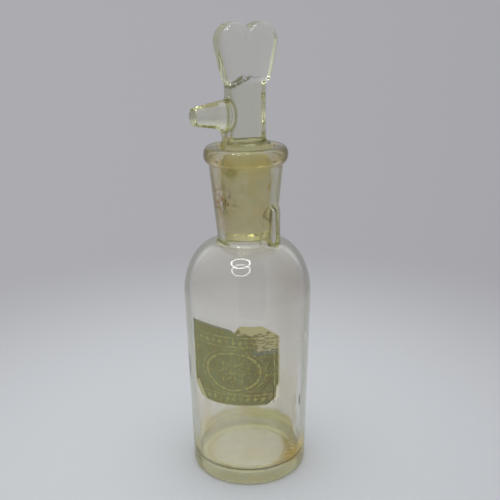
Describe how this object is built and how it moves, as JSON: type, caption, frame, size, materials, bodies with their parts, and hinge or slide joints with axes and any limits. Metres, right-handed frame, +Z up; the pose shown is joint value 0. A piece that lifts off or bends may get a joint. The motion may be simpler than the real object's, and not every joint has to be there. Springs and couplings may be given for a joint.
{
  "type": "dropping bottle",
  "caption": "Clear glass dropping bottle with a ground-in stopper that has a drip beak and a heart-shaped grip, and a worn paper label.",
  "frame": {"origin": "centre of the foot ring, on the plane the bottle stands on", "axes": "+Z up along the bottle's axis, -Y towards the front, where the label is, +X to the right of someone who looks at the front"},
  "size_m": [0.0494, 0.0495, 0.1738],
  "materials": {
    "bottle_glass": "clear moulded soda-lime glass, slightly grey-green in its thick parts, ground inside the neck",
    "stopper_glass": "clear pressed soda-lime glass with fire-polished edges and a ground plug",
    "label_paper": "aged olive-green label paper, matt, torn to its cream core at the edges"
  },
  "bodies": {
    "bottle": {"bottle": "bottle_glass", "label": "label_paper"},
    "stopper": {"stopper": "stopper_glass"}
  },
  "joints": [
    {"name": "stopper_lift", "type": "slide", "parent": "bottle", "child": "stopper", "axis": [0, 0, 1], "range_m": [0, 0.045]}
  ]
}
